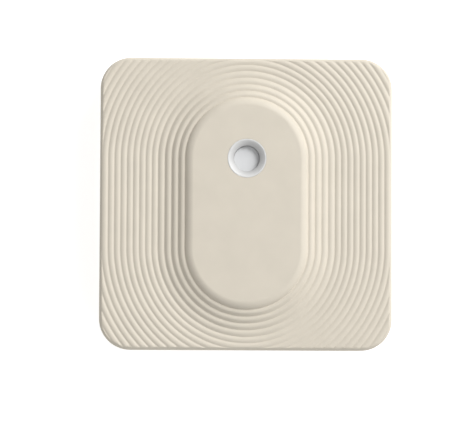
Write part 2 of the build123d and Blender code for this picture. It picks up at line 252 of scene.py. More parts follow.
def moulded_plastic(name, tone, roughness, grain, mottling=0.02):
    """Matt moulded plastic: faint clouds in the colour over a fine spark-eroded grain."""
    finish = bpy.data.materials.new(name)
    finish.use_nodes = True
    steps, links = finish.node_tree.nodes, finish.node_tree.links
    surface = steps["Principled BSDF"]
    place = steps.new("ShaderNodeTexCoord").outputs["Object"]
    clouds = steps.new("ShaderNodeTexNoise")
    clouds.inputs["Scale"].default_value = 350
    clouds.inputs["Detail"].default_value = 5
    tint = steps.new("ShaderNodeValToRGB")
    colour = Color([channel / 255 for channel in tone]).from_srgb_to_scene_linear()
    tint.color_ramp.elements[0].position = 0.3
    tint.color_ramp.elements[0].color = (*(colour * (1 - mottling)), 1)
    tint.color_ramp.elements[1].position = 0.7
    tint.color_ramp.elements[1].color = (*(colour * (1 + mottling)), 1)
    sheen = steps.new("ShaderNodeMapRange")
    sheen.inputs["To Min"].default_value = roughness - 0.05
    sheen.inputs["To Max"].default_value = roughness + 0.05
    pits = steps.new("ShaderNodeTexNoise")
    pits.inputs["Scale"].default_value = 7000
    pits.inputs["Detail"].default_value = 3
    relief = steps.new("ShaderNodeBump")
    relief.inputs["Strength"].default_value = 0.5
    relief.inputs["Distance"].default_value = grain
    links.new(place, clouds.inputs["Vector"])
    links.new(place, pits.inputs["Vector"])
    links.new(clouds.outputs["Fac"], tint.inputs["Fac"])
    links.new(tint.outputs["Color"], surface.inputs["Base Color"])
    links.new(clouds.outputs["Fac"], sheen.inputs["Value"])
    links.new(sheen.outputs["Result"], surface.inputs["Roughness"])
    links.new(pits.outputs["Fac"], relief.inputs["Height"])
    links.new(relief.outputs["Normal"], surface.inputs["Normal"])
    surface.inputs["Specular IOR Level"].default_value = 0.35
    return finish


def flare_share(distance):
    """1 at the plateau's foot, 0 where the flare has run out on to the level face."""
    return max(0, (flare_radius - distance) / flare_reach)


def crest_height(distance):
    """The level of the ribs' crests at a distance from the plateau's spine."""
    return face_z + flare_rise * flare_share(distance) ** flare_power


def smooth_but_for_edges(mesh):
    """Shades a mesh smooth, except across its hard edges."""
    mesh.shade_smooth()
    mesh.set_sharp_from_angle(angle=sharp_angle)


def finished(shape, name, finish):
    """Turns a bmesh into a smooth-shaded object whose hard edges stay sharp."""
    mesh = bpy.data.meshes.new(name)
    shape.to_mesh(mesh)
    shape.free()
    mesh.materials.append(finish)
    smooth_but_for_edges(mesh)
    piece = bpy.data.objects.new(name, mesh)
    bpy.context.scene.collection.objects.link(piece)
    return piece


def profile_wire(shape, points):
    """Draws a half section as a wire in the XZ plane and returns its corners in order."""
    corners = [shape.verts.new((x, 0, z)) for x, z in points]
    for pair in zip(corners, corners[1:]):
        shape.edges.new(pair)
    return corners


def block(shape, low, high):
    """Adds a block, from its lowest to its highest corner."""
    low, high = Vector(low), Vector(high)
    spread = Matrix.LocRotScale((low + high) / 2, None, high - low)
    bmesh.ops.create_cube(shape, size=1, matrix=spread)


def disc(shape, middle, radius, depth, steps):
    """Adds an upright round disc, from its middle."""
    bmesh.ops.create_cone(
        shape,
        cap_ends=True,
        segments=steps,
        radius1=radius,
        radius2=radius,
        depth=depth,
        matrix=Matrix.Translation(middle),
    )


def rounded_corners(shape, corners, reach, segments):
    """Turns corners of a wire into arcs that start at a reach from them."""
    bmesh.ops.bevel(
        shape,
        geom=corners,
        offset=reach,
        segments=segments,
        profile=0.5,
        affect="VERTICES",
        material=-1,
    )


def rounded_edges(shape, edges, reach, segments, clamped=False):
    """Turns edges of a solid into rounded ones, from a reach on each side of them."""
    bmesh.ops.bevel(
        shape,
        geom=edges,
        offset=reach,
        segments=segments,
        profile=0.5,
        affect="EDGES",
        clamp_overlap=clamped,
        material=-1,
    )


def upright_edges(shape, least_height):
    """The edges whose two ends differ by more than a height."""
    ends = [(edge, edge.verts[0].co.z - edge.verts[1].co.z) for edge in shape.edges]
    return [edge for edge, height in ends if abs(height) > least_height]


def topmost_face(shape):
    return max(shape.faces, key=lambda part: part.calc_center_median().z)


def cut(piece, tool, operation):
    """Joins or cuts a piece with another solid, which is used up."""
    change = piece.modifiers.new(operation.lower(), "BOOLEAN")
    change.operation = operation
    change.solver = "MANIFOLD"
    change.object = tool
    graph = bpy.context.evaluated_depsgraph_get()
    result = bpy.data.meshes.new_from_object(piece.evaluated_get(graph))
    piece.modifiers.clear()
    piece.data = result
    smooth_but_for_edges(result)
    bpy.data.objects.remove(tool)


def placed(piece, body, surface_slot, *stood_for):
    """Lets a piece ride on its body, in place of the frame's nodes. Its surface slot is not used."""
    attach(piece, body)
    if stood_for:
        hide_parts(*stood_for)


# the ribbed face, swept round the plateau's spine
cream_plastic = moulded_plastic("cream_moulding", cream, roughness=0.55, grain=0.000006)
face = bmesh.new()
edge_start = plateau_radius - (plateau_z - foot_z) / math.tan(plateau_edge_turn)
section = [(0, plateau_z), (edge_start, plateau_z), (plateau_radius, foot_z)]
groove = plateau_radius
for rib in range(rib_count):
    pitch = flare_rib_pitch if rib < flare_rib_count else face_rib_pitch
    crest, groove = groove + pitch / 2, groove + pitch
    depth = groove_depth + (flare_groove_depth - groove_depth) * flare_share(groove)
    section += [(crest, crest_height(crest)), (groove, crest_height(groove) - depth)]
room_side = plateau_radius - side_wall
room_top = plateau_z - plateau_wall
end_radius = groove + face_rib_pitch
section += [
    (end_radius, face_z),
    (end_radius, ceiling_z),
    (room_side + room_top - ceiling_z, ceiling_z),
    (room_side, room_top),
    (0, room_top),
]
corners = profile_wire(face, section)

# from the middle out: the plateau's shoulder, then its foot and the grooves between the crests
shoulder, grooves, crests = corners[1:2], corners[2:-5:2], corners[3:-5:2]
rounded_corners(face, crests, crest_rounding, crest_steps)
rounded_corners(face, grooves, groove_rounding, groove_steps)
edge_reach = plateau_edge_radius * math.tan(plateau_edge_turn / 2) * edge_share
rounded_corners(face, shoulder, edge_reach, shoulder_steps)
bmesh.ops.translate(face, verts=face.verts, vec=(0, spine_end, 0))
swept = face.verts[:] + face.edges[:]
for middle in (spine_end, -spine_end):
    turned = bmesh.ops.spin(
        face, geom=swept, cent=(0, middle, 0), axis=(0, 0, 1), angle=math.pi, steps=arc_steps
    )
    end = [part for part in turned["geom_last"] if isinstance(part, bmesh.types.BMEdge)]
    drawn = bmesh.ops.extrude_edge_only(face, edges=end)["geom"]
    moved = [part for part in drawn if isinstance(part, bmesh.types.BMVert)]
    bmesh.ops.translate(face, verts=moved, vec=(0, -2 * middle, 0))
    swept = [part for part in drawn if not isinstance(part, bmesh.types.BMFace)]
bmesh.ops.remove_doubles(face, verts=face.verts, dist=merge_reach)
bmesh.ops.dissolve_degenerate(face, dist=merge_reach, edges=face.edges)
bmesh.ops.recalc_face_normals(face, faces=face.faces)
housing_face = finished(face, "housing_face", cream_plastic)

# the square outline with its rounded border, which trims the ribbed face
outline = bmesh.new()
block(outline, (housing_low.x, housing_low.y, ceiling_z), (housing_high.x, housing_high.y, face_z))
rounded_edges(outline, upright_edges(outline, rim_wall / 2), corner_radius, corner_steps)
rounded_edges(outline, topmost_face(outline).edges[:], border_radius, border_steps)
top = topmost_face(outline)
raised = bmesh.ops.extrude_face_region(outline, geom=[top])["geom"]
raised = [part for part in raised if isinstance(part, bmesh.types.BMVert)]
bmesh.ops.translate(outline, verts=raised, vec=(0, 0, rim_drop * 2))
bmesh.ops.delete(outline, geom=[top], context="FACES_ONLY")
bmesh.ops.recalc_face_normals(outline, faces=outline.faces)
cut(housing_face, finished(outline, "outline", cream_plastic), "INTERSECT")

# the hole for the light ring
hole = bmesh.new()
hole_middle = (ring_middle.x, ring_middle.y, plateau_z)
disc(hole, hole_middle, ring_radius + ring_gap, rim_drop * 2, round_steps)
cut(housing_face, finished(hole, "ring_hole", cream_plastic), "DIFFERENCE")

# the walls, bosses and air slots below the face, as the frame has them
walls = bmesh.new()
walls.from_mesh(nodes["front_housing"].data)
bmesh.ops.remove_doubles(walls, verts=walls.verts, dist=merge_reach)
housing = finished(walls, "housing_body", cream_plastic)
above = bmesh.new()
block(above, (2 * housing_low.x, 2 * housing_low.y, ceiling_z), 2 * housing_high)
cut(housing, finished(above, "above", cream_plastic), "DIFFERENCE")
cut(housing, housing_face, "UNION")
even = housing.modifiers.new("even_shading", "WEIGHTED_NORMAL")
even.keep_sharp = True
placed(housing, "housing", "housing", "front_housing")


# Light ring
# A cone of milky acrylic, flush in the plateau, that glows when the LED under its leg is lit.
# It is held by a flange behind the face and its bore guides the button.
milk = (217, 217, 216)
ring_bore_radius = 0.00162
ring_lip = 0.00015
ring_cone_depth = 0.00042
ring_swell = 0.00003
# factors on the ring's colour: painted shade at the bore, painted light at the rim
ring_painted_shade = (0.68, 1.14)
ring_flange_radius = (ring_high.x - ring_low.x) / 2
ring_flange_thickness = 0.0005
leg_width = 0.0016
leg_thickness = 0.0009
lip_steps = 6
edge_steps = 4


def lathed(shape, middle):
    """Spins a wire profile round an upright axis and closes it."""
    bmesh.ops.spin(
        shape,
        geom=shape.verts[:] + shape.edges[:],
        cent=(0, 0, 0),
        axis=(0, 0, 1),
        angle=math.tau,
        steps=round_steps,
        use_merge=True,
    )
    bmesh.ops.remove_doubles(shape, verts=shape.verts, dist=merge_reach)
    bmesh.ops.dissolve_degenerate(shape, dist=merge_reach, edges=shape.edges)
    bmesh.ops.recalc_face_normals(shape, faces=shape.faces)
    bmesh.ops.translate(shape, verts=shape.verts, vec=(middle.x, middle.y, 0))


milky_acrylic = moulded_plastic("milky_acrylic", milk, roughness=0.4, grain=0.000002, mottling=0.01)
milky_surface = milky_acrylic.node_tree.nodes["Principled BSDF"]
milky_surface.inputs["Subsurface Weight"].default_value = 0.12
milky_surface.inputs["Subsurface Radius"].default_value = (0.0004, 0.0004, 0.0004)

# painted shade: the acrylic's colour is darkened towards its bore, where the hole's shade falls, and
# painted lighter out to its rim
milky_steps, milky_links = milky_acrylic.node_tree.nodes, milky_acrylic.node_tree.links
from_middle = milky_steps.new("ShaderNodeVectorMath")
from_middle.operation = "DISTANCE"
from_middle.inputs[1].default_value = (ring_middle.x, ring_middle.y, ring_high.z)
painted_bore_shade = milky_steps.new("ShaderNodeMapRange")
painted_bore_shade.inputs["From Min"].default_value = ring_bore_radius
painted_bore_shade.inputs["From Max"].default_value = ring_radius
painted_bore_shade.inputs["To Min"].default_value, painted_bore_shade.inputs["To Max"].default_value = ring_painted_shade
painted_shade_tint = milky_steps.new("ShaderNodeVectorMath")
painted_shade_tint.operation = "SCALE"
milky_tint = milky_surface.inputs["Base Color"].links[0].from_socket
milky_links.new(milky_steps.new("ShaderNodeTexCoord").outputs["Object"], from_middle.inputs[0])
milky_links.new(from_middle.outputs["Value"], painted_bore_shade.inputs["Value"])
milky_links.new(milky_tint, painted_shade_tint.inputs[0])
milky_links.new(painted_bore_shade.outputs["Result"], painted_shade_tint.inputs["Scale"])
milky_links.new(painted_shade_tint.outputs["Vector"], milky_surface.inputs["Base Color"])

# the ring's half section, spun round, and the leg that stands on its flange
flange_top = plateau_z - plateau_wall
flange_foot = flange_top - ring_flange_thickness
ring = bmesh.new()
corners = profile_wire(
    ring,
    [
        (ring_radius, flange_top),
        (ring_radius, ring_high.z),
        (ring_radius - ring_lip, ring_high.z),
        ((ring_radius + ring_bore_radius) / 2, ring_high.z - ring_cone_depth / 2 + ring_swell),
        (ring_bore_radius, ring_high.z - ring_cone_depth),
        (ring_bore_radius, flange_foot),
        (ring_flange_radius, flange_foot),
        (ring_flange_radius, flange_top),
    ],
)
ring.edges.new((corners[-1], corners[0]))
rounded_corners(ring, corners[3:4], ring_lip, lip_steps)
rounded_corners(ring, corners[4:5], ring_lip / 2, lip_steps)
rounded_corners(ring, corners[1:3], ring_lip / 3, edge_steps)
lathed(ring, ring_middle)
leg_top = (flange_top + flange_foot) / 2
leg_low = (ring_middle.x - leg_width / 2, ring_low.y, ring_low.z)
leg_high = (ring_middle.x + leg_width / 2, ring_low.y + leg_thickness, leg_top)
block(ring, leg_low, leg_high)
light_guide = finished(ring, "light_guide_ring", milky_acrylic)
placed(light_guide, "housing", "light_ring", "light_ring")


# Control button
# A light grey ABS cap that slides in the ring's bore, recessed so that it isn't pressed by
# chance. A flange behind the ring keeps it in, and its rim is rounded.
button_grey = (220, 221, 222)
button_gap = 0.00002
button_rim = 0.00006
button_low, button_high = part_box("control_button")
button_radius = ring_bore_radius - button_gap
button_flange_radius = (button_high.x - button_low.x) / 2
button_plastic = moulded_plastic(
    "grey_button_moulding", button_grey, roughness=0.5, grain=0.000003, mottling=0.015
)
button_shape = bmesh.new()
corners = profile_wire(
    button_shape,
    [
        (0, button_high.z),
        (button_radius, button_high.z),
        (button_radius, flange_foot),
        (button_flange_radius, flange_foot),
        (button_flange_radius, button_low.z),
        (0, button_low.z),
    ],
)
rounded_corners(button_shape, corners[1:2], button_rim, lip_steps)
lathed(button_shape, ring_middle)
button = finished(button_shape, "button_cap", button_plastic)
placed(button, "button", "button", "control_button")


# Switch
# A side-soldered push switch: a black nylon base with a pit, a snap dome of stainless sheet in
# it, a black plunger on the dome, a steel plate that holds the plunger in, and four tinned tabs.
black_nylon = (28, 28, 30)
tin = (205, 203, 196)
stainless = (188, 187, 184)
hard_edge = math.radians(35)
flat_edge = math.radians(1)
turned_corner_steps = 5
base_softness = 0.00006
plate_softness = 0.00002
tab_softness = 0.00003


def bare_metal(name, tone, roughness):
    """Metal with a faint tarnish, and the noise that is to mark its gloss and relief."""
    finish = bpy.data.materials.new(name)
    finish.use_nodes = True
    steps, links = finish.node_tree.nodes, finish.node_tree.links
    surface = steps["Principled BSDF"]
    surface.inputs["Metallic"].default_value = 1
    marks = steps.new("ShaderNodeTexNoise")
    marks.inputs["Detail"].default_value = 4
    tarnish = steps.new("ShaderNodeTexNoise")
    tarnish.inputs["Scale"].default_value = 600
    tint = steps.new("ShaderNodeValToRGB")
    colour = Color([channel / 255 for channel in tone]).from_srgb_to_scene_linear()
    tint.color_ramp.elements[0].position = 0.35
    tint.color_ramp.elements[0].color = (*(colour * 0.95), 1)
    tint.color_ramp.elements[1].position = 0.65
    tint.color_ramp.elements[1].color = (*colour, 1)
    sheen = steps.new("ShaderNodeMapRange")
    sheen.inputs["To Min"].default_value = roughness - 0.08
    sheen.inputs["To Max"].default_value = roughness + 0.08
    relief = steps.new("ShaderNodeBump")
    relief.inputs["Strength"].default_value = 0.3
    relief.inputs["Distance"].default_value = 0.000003
    links.new(steps.new("ShaderNodeTexCoord").outputs["Object"], tarnish.inputs["Vector"])
    links.new(tarnish.outputs["Fac"], tint.inputs["Fac"])
    links.new(tint.outputs["Color"], surface.inputs["Base Color"])
    links.new(marks.outputs["Fac"], sheen.inputs["Value"])
    links.new(sheen.outputs["Result"], surface.inputs["Roughness"])
    links.new(marks.outputs["Fac"], relief.inputs["Height"])
    links.new(relief.outputs["Normal"], surface.inputs["Normal"])
    return finish, marks


def stretched_place(finish, stretch):
    """A point's place on the object, scaled along each axis."""
    mapping = finish.node_tree.nodes.new("ShaderNodeMapping")
    mapping.inputs["Scale"].default_value = stretch
    place = finish.node_tree.nodes.new("ShaderNodeTexCoord").outputs["Object"]
    finish.node_tree.links.new(place, mapping.inputs["Vector"])
    return mapping.outputs["Vector"]


def rolled_metal(name, tone, roughness, streaks):
    """Plated or rolled metal with fine streaks, from the noise's scale along each axis."""
    finish, marks = bare_metal(name, tone, roughness)
    marks.inputs["Scale"].default_value = 1
    finish.node_tree.links.new(stretched_place(finish, streaks), marks.inputs["Vector"])
    return finish


def softened(node, name, finish, reach, segments=2):
    """A copy of one of the frame's nodes with its hard edges rounded."""
    shape = bmesh.new()
    shape.from_mesh(nodes[node].data)
    bmesh.ops.remove_doubles(shape, verts=shape.verts, dist=merge_reach)
    bmesh.ops.dissolve_limit(shape, angle_limit=flat_edge, verts=shape.verts, edges=shape.edges)
    hard = [edge for edge in shape.edges if edge.is_manifold and edge.calc_face_angle() > hard_edge]
    rounded_edges(shape, hard, reach, segments, clamped=True)
    bmesh.ops.recalc_face_normals(shape, faces=shape.faces)
    return finished(shape, name, finish)


def closed_turning(name, points, roundings, middle, finish):
    """A lathed piece from its half section. The roundings give some corners, by number, a reach."""
    shape = bmesh.new()
    corners = profile_wire(shape, points)
    if points[0][0] > 0:
        shape.edges.new((corners[-1], corners[0]))
    for corner, reach in roundings.items():
        rounded_corners(shape, [corners[corner]], reach, turned_corner_steps)
    lathed(shape, middle)
    return finished(shape, name, finish)


switch_nylon = moulded_plastic(
    "black_nylon", black_nylon, roughness=0.45, grain=0.000003, mottling=0.1
)
tinned_steel = rolled_metal("tinned_steel", tin, roughness=0.32, streaks=(30000, 1500, 1500))
spring_steel = rolled_metal(
    "stainless_sheet", stainless, roughness=0.25, streaks=(1500, 30000, 1500)
)
switch_body = softened("switch_base", "switch_body", switch_nylon, base_softness)
placed(switch_body, "housing", "switch_plastic", "switch_base")
cover_plate = softened("switch_plate", "switch_cover_plate", tinned_steel, plate_softness)
placed(cover_plate, "housing", "spring_metal", "switch_plate")
tabs = softened("switch_terminals", "switch_tabs", tinned_steel, tab_softness)
placed(tabs, "housing", "spring_metal", "switch_terminals")

# the plunger, which ends in a thin flange under the plate
plunger_low, plunger_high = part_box("switch_plunger")
plunger_radius = 0.00075
plunger_flange_radius = (plunger_high.x - plunger_low.x) / 2
plunger_flange_thickness = 0.0001
plunger_rim = 0.00008
plunger_flange_rim = 0.00003
plunger_shoulder = plunger_low.z + plunger_flange_thickness
plunger = closed_turning(
    "switch_actuator",
    [
        (0, plunger_high.z),
        (plunger_radius, plunger_high.z),
        (plunger_radius, plunger_shoulder),
        (plunger_flange_radius, plunger_shoulder),
        (plunger_flange_radius, plunger_low.z),
        (0, plunger_low.z),
    ],
    {1: plunger_rim, 3: plunger_flange_rim},
    ring_middle,
    switch_nylon,
)
placed(plunger, "button", "switch_plastic", "switch_plunger")

# the dome, a thin shell in the shape of a shallow cap that flattens under the plunger
dome_low, dome_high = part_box("switch_dome")
dome_radius = (dome_high.x - dome_low.x) / 2
dome_sheet = 0.00006
dome_steps = 12
dome_shape = bmesh.new()
cap_outer = []
cap_inner = []
for step in range(dome_steps + 1):
    share = step / dome_steps
    fall = (dome_high.z - dome_low.z - dome_sheet) * (1 - share**2)
    cap_outer.append((dome_radius * share, dome_low.z + dome_sheet + fall))
    cap_inner.append((dome_radius * share, dome_low.z + fall))
profile_wire(dome_shape, cap_outer + cap_inner[::-1])
lathed(dome_shape, ring_middle)
dome = finished(dome_shape, "snap_dome", spring_steel)
placed(dome, "housing", "spring_metal", "switch_dome")
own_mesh(dome)


# Circuit board
# Glass epoxy with copper under a dark green mask, held against the face by the battery frame.
# Its slots keep the board's warmth from the climate sensor. Round gold test pads underneath.
mask_green = (24, 74, 48)
trace_green = (38, 98, 63)
gold = (214, 176, 96)
pad_radius = 0.0005
pad_thickness = 0.00004
pad_columns = 5
pad_rows = 2
pad_pitch = 0.0016
pad_steps = 32
board_track_pitch = 0.0022
board_softness = 0.00005


def solder_mask(name, tone, over_copper, pitch):
    """Glossy mask over copper: square patches of raised tracks, along or across, or bare."""
    finish = bpy.data.materials.new(name)
    finish.use_nodes = True
    steps, links = finish.node_tree.nodes, finish.node_tree.links
    surface = steps["Principled BSDF"]
    place = steps.new("ShaderNodeTexCoord").outputs["Object"]
    across = steps.new("ShaderNodeMapping")
    across.inputs["Rotation"].default_value = (0, 0, math.pi / 2)
    links.new(place, across.inputs["Vector"])
    patches = steps.new("ShaderNodeTexVoronoi")
    patches.distance = "CHEBYCHEV"
    patches.inputs["Scale"].default_value = 1 / (2 * pitch)
    links.new(place, patches.inputs["Vector"])

    # a patch's random shade picks whether it holds tracks, and then which way they run
    picks = []
    for share in (0.35, 0.5):
        pick = steps.new("ShaderNodeMath")
        pick.operation = "GREATER_THAN"
        pick.inputs[1].default_value = share
        links.new(patches.outputs["Color"], pick.inputs[0])
        picks.append(pick.outputs[0])
    chosen = steps.new("ShaderNodeMix")
    links.new(picks[1], chosen.inputs["Factor"])
    for side, vector in (("A", place), ("B", across.outputs["Vector"])):
        tracks = steps.new("ShaderNodeTexBrick")
        tracks.offset = 0.37
        tracks.inputs["Scale"].default_value = 1 / pitch
        tracks.inputs["Brick Width"].default_value = 3.1
        tracks.inputs["Row Height"].default_value = 0.2
        tracks.inputs["Mortar Size"].default_value = 0.03
        tracks.inputs["Mortar Smooth"].default_value = 0.3
        links.new(vector, tracks.inputs["Vector"])
        links.new(tracks.outputs["Fac"], chosen.inputs[side])
    routed = steps.new("ShaderNodeMath")
    routed.operation = "MULTIPLY"
    links.new(chosen.outputs["Result"], routed.inputs[0])
    links.new(picks[0], routed.inputs[1])
    tint = steps.new("ShaderNodeValToRGB")
    for stop, shade in zip(tint.color_ramp.elements, (tone, over_copper)):
        stop.color = (*Color([channel / 255 for channel in shade]).from_srgb_to_scene_linear(), 1)
    weave = steps.new("ShaderNodeTexNoise")
    weave.inputs["Scale"].default_value = 2500
    weave.inputs["Detail"].default_value = 3
    height = steps.new("ShaderNodeMath")
    height.operation = "MULTIPLY_ADD"
    height.inputs[1].default_value = 0.3
    sheen = steps.new("ShaderNodeMapRange")
    sheen.inputs["To Min"].default_value = 0.22
    sheen.inputs["To Max"].default_value = 0.4
    relief = steps.new("ShaderNodeBump")
    relief.inputs["Strength"].default_value = 0.6
    relief.inputs["Distance"].default_value = 0.00002
    links.new(place, weave.inputs["Vector"])
    links.new(routed.outputs[0], tint.inputs["Fac"])
    links.new(tint.outputs["Color"], surface.inputs["Base Color"])
    links.new(weave.outputs["Fac"], height.inputs[0])
    links.new(routed.outputs[0], height.inputs[2])
    links.new(weave.outputs["Fac"], sheen.inputs["Value"])
    links.new(sheen.outputs["Result"], surface.inputs["Roughness"])
    links.new(height.outputs[0], relief.inputs["Height"])
    links.new(relief.outputs["Normal"], surface.inputs["Normal"])
    return finish


board_mask = solder_mask("green_solder_mask", mask_green, trace_green, board_track_pitch)
main_board = softened("circuit_board", "main_board", board_mask, board_softness)
placed(main_board, "housing", "board", "circuit_board")
board_low, board_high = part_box("circuit_board")
pads = bmesh.new()
for column in range(1, pad_columns + 1):
    for row in range(1, pad_rows + 1):
        spot = (board_low.x + column * pad_pitch, board_high.y - row * pad_pitch, board_low.z)
        disc(pads, spot, pad_radius, pad_thickness, pad_steps)
gold_plating = rolled_metal("gold_plating", gold, roughness=0.3, streaks=(9000, 9000, 9000))
placed(finished(pads, "test_pads", gold_plating), "housing", "cell_metal")


# Radio module
# A thin black board soldered on the main one by half holes along its sides, with a drawn tin can
# over the radio chip and a ceramic chip antenna at its free end, away from the can.
module_mask = (26, 32, 36)
module_trace = (44, 52, 56)
antenna_ceramic = (226, 228, 222)
hole_radius = 0.00028
hole_pitch = 0.0011
hole_steps = 20
module_track_pitch = 0.0012
module_softness = 0.00004
can_softness = 0.00008
end_share = 0.2
end_inset = 0.00002
block_steps = 2


def blocks(name, corner_pairs, finish, reach):
    """Several rounded blocks in one piece, each from its lowest to its highest corner."""
    shape = bmesh.new()
    for low, high in corner_pairs:
        block(shape, low, high)
    rounded_edges(shape, shape.edges[:], reach, block_steps)
    return finished(shape, name, finish)


def end_caps(low, high):
    """The two metal ends of a chip and the bare middle between them, as pairs of corners."""
    length = (high.x - low.x) * end_share
    lower_end = Vector((low.x + length, high.y, high.z))
    upper_start = Vector((high.x - length, low.y, low.z))
    middle_low = low + Vector((end_inset, end_inset, 0))
    middle_high = high - Vector((end_inset, end_inset, end_inset))
    return [(low, lower_end), (upper_start, high)], [(middle_low, middle_high)]


module_low, module_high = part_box("radio_module")
black_mask = solder_mask("black_solder_mask", module_mask, module_trace, module_track_pitch)
module = softened("radio_module", "radio_board", black_mask, module_softness)
half_holes = bmesh.new()
hole_count = int((module_high.y - module_low.y) / hole_pitch) - 1
first_hole = (module_low.y + module_high.y) / 2 - (hole_count - 1) * hole_pitch / 2
for edge_x in (module_low.x, module_high.x):
    for step in range(hole_count):
        spot = (edge_x, first_hole + step * hole_pitch, (module_low.z + module_high.z) / 2)
        disc(half_holes, spot, hole_radius, (module_high.z - module_low.z) * 2, hole_steps)
cut(module, finished(half_holes, "half_holes", black_mask), "DIFFERENCE")
placed(module, "housing", "board", "radio_module")
radio_can = softened("shield_can", "radio_can", tinned_steel, can_softness, segments=3)
placed(radio_can, "housing", "spring_metal", "shield_can")
fired_white = moulded_plastic(
    "white_ceramic", antenna_ceramic, roughness=0.5, grain=0.000003, mottling=0.03
)
end_corners, middle_corners = end_caps(*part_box("chip_antenna"))
antenna_body = blocks("antenna_ceramic", middle_corners, fired_white, module_softness)
placed(antenna_body, "housing", "ceramic", "chip_antenna")
antenna_ends = blocks("antenna_ends", end_corners, tinned_steel, module_softness)
placed(antenna_ends, "housing", "spring_metal")


# Small components
# The timing crystal in its lidded ceramic, the LED under the light guide, and the ceramic
# capacitors and resistors with tinned ends, all soldered on the face side of the board.
crystal_brown = (92, 78, 66)
chip_tan = (150, 122, 92)
led_white = (238, 236, 226)
phosphor_yellow = (232, 206, 92)
lid_inset = 0.0001
lid_share = 0.7
crystal_softness = 0.00004
lid_softness = 0.00005
chip_softness = 0.00003
window_softness = 0.00002


def solids_of(node):
    """The lowest and highest corner of each separate solid in one of the frame's nodes."""
    shape = bmesh.new()
    shape.from_mesh(nodes[node].data)
    bmesh.ops.remove_doubles(shape, verts=shape.verts, dist=merge_reach)
    seen = set()
    found = []
    for start in shape.verts:
        if start in seen:
            continue
        seen.add(start)
        reached = [start]
        solid = []
        while reached:
            corner = reached.pop()
            solid.append(corner.co.copy())
            near = {edge.other_vert(corner) for edge in corner.link_edges} - seen
            seen |= near
            reached += near
        found.append([Vector([pick(axis) for axis in zip(*solid)]) for pick in (min, max)])
    shape.free()
    return found


fired_brown = moulded_plastic(
    "brown_ceramic", crystal_brown, roughness=0.5, grain=0.000003, mottling=0.05
)
lid_steel = rolled_metal(
    "crystal_lid_steel", stainless, roughness=0.22, streaks=(1500, 20000, 1500)
)
crystal_low, crystal_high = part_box("timing_crystal")
lid_level = crystal_low.z + (crystal_high.z - crystal_low.z) * lid_share
inset = Vector((lid_inset, lid_inset, 0))
base_corners = (crystal_low, Vector((crystal_high.x, crystal_high.y, lid_level)))
crystal_base = blocks("crystal_base", [base_corners], fired_brown, crystal_softness)
placed(crystal_base, "housing", "ceramic", "timing_crystal")
lid_corners = (Vector((crystal_low.x, crystal_low.y, lid_level)) + inset, crystal_high - inset)
crystal_lid = blocks("crystal_lid", [lid_corners], lid_steel, lid_softness)
placed(crystal_lid, "housing", "cell_metal")

# the LED, a white body with a window of phosphor sunk into its top
led_moulding = moulded_plastic(
    "white_led_moulding", led_white, roughness=0.4, grain=0.000002, mottling=0.01
)
phosphor = moulded_plastic(
    "yellow_phosphor", phosphor_yellow, roughness=0.3, grain=0.000002, mottling=0.05
)
led_low, led_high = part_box("indicator_led")
led_level = led_high.z - lid_inset / 2
led_corners = (led_low, Vector((led_high.x, led_high.y, led_level)))
led_body = blocks("led_body", [led_corners], led_moulding, chip_softness)
placed(led_body, "housing", "light_ring", "indicator_led")
window_low = Vector((led_low.x, led_low.y, led_level - lid_inset)) + 2 * inset
led_window = blocks("led_window", [(window_low, led_high - 2 * inset)], phosphor, window_softness)
placed(led_window, "housing", "light_ring")

# the capacitors and resistors, each between two tinned ends
fired_tan = moulded_plastic(
    "tan_ceramic", chip_tan, roughness=0.45, grain=0.000003, mottling=0.08
)
end_corners = []
middle_corners = []
for low, high in solids_of("board_passives"):
    ends, middles = end_caps(low, high)
    end_corners += ends
    middle_corners += middles
chip_bodies = blocks("chip_bodies", middle_corners, fired_tan, chip_softness)
placed(chip_bodies, "housing", "ceramic", "board_passives")
chip_ends = blocks("chip_ends", end_corners, tinned_steel, chip_softness)
placed(chip_ends, "housing", "spring_metal")


# Climate sensor
# The sensing chip in black epoxy on the back of the board's neck, beside the air slots, with a
# white membrane over its port that lets vapour in and keeps dust out.
membrane_white = (232, 232, 226)
epoxy_softness = 0.00006
membrane_softness = 0.00003
epoxy_black = moulded_plastic(
    "black_epoxy", black_nylon, roughness=0.35, grain=0.000002, mottling=0.1
)
membrane = moulded_plastic("white_membrane", membrane_white, roughness=0.75, grain=0.000008)
climate_chip = softened("climate_sensor", "climate_chip", epoxy_black, epoxy_softness)
placed(climate_chip, "housing", "switch_plastic", "climate_sensor")
port_membrane = softened("port_filter", "port_membrane", membrane, membrane_softness)
placed(port_membrane, "housing", "light_ring", "port_filter")


# Battery frame
# A white ABS well for the coin cell, with a window for the side contact and a notch for a
# finger nail. Its two gusseted arms are screwed to the housing's bosses, so it clamps the board.
frame_white = (222, 220, 212)
frame_softness = 0.00012
frame_plastic = moulded_plastic(
    "white_frame_moulding", frame_white, roughness=0.5, grain=0.000006
)
cell_frame = softened("battery_frame", "cell_frame", frame_plastic, frame_softness, segments=3)
placed(cell_frame, "housing", "frame", "battery_frame")


